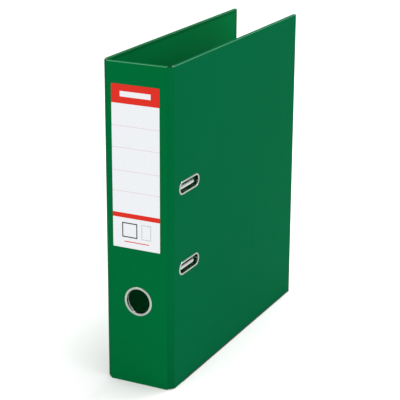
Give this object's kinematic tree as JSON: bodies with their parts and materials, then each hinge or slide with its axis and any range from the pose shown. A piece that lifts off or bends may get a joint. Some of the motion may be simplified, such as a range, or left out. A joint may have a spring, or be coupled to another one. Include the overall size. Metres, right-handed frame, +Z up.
{
  "type": "lever arch file",
  "caption": "Lever arch file for A4 sheets: foil-covered board case with finger ring, slotted front cover, arches, lever and compressor bar.",
  "frame": {"origin": "centre of the foot of the closed, upright file", "axes": "+Z up, +X out of the front cover, -Y out of the spine"},
  "size_m": [0.0734, 0.2888, 0.318],
  "materials": {
    "black_plastic": "moulded black polypropylene",
    "chromed_wire": "bright chrome plate",
    "green_foil_cover": "satin polypropylene foil, dark green",
    "green_foil_inner": "satin polypropylene foil, dark green",
    "green_foil_outer": "satin polypropylene foil, dark green",
    "greyboard": "raw grey millboard",
    "label_paper": "coated white paper, printed",
    "nickel": "bright nickel plate",
    "protector_steel": "plain rolled steel",
    "roller_plastic": "natural acetal",
    "spring_steel": "tempered spring steel",
    "zinc_steel": "bright zinc plate"
  },
  "bodies": {
    "rear_cover": {"rear_cover_board": "greyboard", "rear_cover_wrap": "green_foil_outer", "rear_cover_lining": "green_foil_inner", "rear_edge_protector": "protector_steel", "base_plate": "zinc_steel", "upper_post": "zinc_steel", "lower_post": "zinc_steel", "base_rivets": "nickel", "opening_spring": "spring_steel", "lever_pivot_pin": "zinc_steel"},
    "spine": {"spine_board": "greyboard", "spine_wrap": "green_foil_outer", "spine_lining": "green_foil_inner", "rear_hinge_foil": "green_foil_outer", "front_hinge_foil": "green_foil_outer", "finger_ring_ferrule": "nickel", "finger_ring_backing": "nickel", "spine_label": "label_paper"},
    "front_cover": {"front_cover_board": "greyboard", "front_cover_wrap": "green_foil_cover", "front_cover_lining": "green_foil_inner", "front_edge_protector": "protector_steel", "upper_slot_eyelet": "nickel", "lower_slot_eyelet": "nickel", "upper_slot_backing": "nickel", "lower_slot_backing": "nickel"},
    "arches": {"arch_wire": "chromed_wire"},
    "lever": {"lever_arm": "zinc_steel", "lever_grip": "black_plastic", "roller_pin": "zinc_steel"},
    "roller": {"roller": "roller_plastic"},
    "compressor": {"compressor_bar": "black_plastic"}
  },
  "joints": [
    {"name": "spine_hinge", "type": "hinge", "parent": "rear_cover", "child": "spine", "pos_m": [-0.0335, -0.1415, 0.159], "axis": [0, 0, -1], "range_deg": [0, 90], "deforming": ["rear_hinge_foil"]},
    {"name": "cover_hinge", "type": "hinge", "parent": "spine", "child": "front_cover", "pos_m": [0.0335, -0.1415, 0.159], "axis": [0, 0, -1], "range_deg": [0, 180], "deforming": ["front_hinge_foil"]},
    {"name": "arch_swing", "type": "hinge", "parent": "rear_cover", "child": "arches", "pos_m": [-0.0289, -0.133, 0.159], "axis": [0, 0, -1], "range_deg": [0, 90]},
    {"name": "lever_pivot", "type": "hinge", "parent": "rear_cover", "child": "lever", "pos_m": [-0.0194, -0.118, 0.163], "axis": [0, -1, 0], "range_deg": [0, 90]},
    {"name": "roller_spin", "type": "hinge", "parent": "lever", "child": "roller", "pos_m": [-0.0227, -0.118, 0.147], "axis": [0, -1, 0], "continuous": true},
    {"name": "compressor_slide", "type": "slide", "parent": "rear_cover", "child": "compressor", "axis": [1, 0, 0], "range_m": [0, 0.033]}
  ],
  "couplings": [
    {"joint": "arch_swing", "follows": "spine_hinge", "ratio": 1},
    {"joint": "lever_pivot", "follows": "spine_hinge", "ratio": 1}
  ]
}
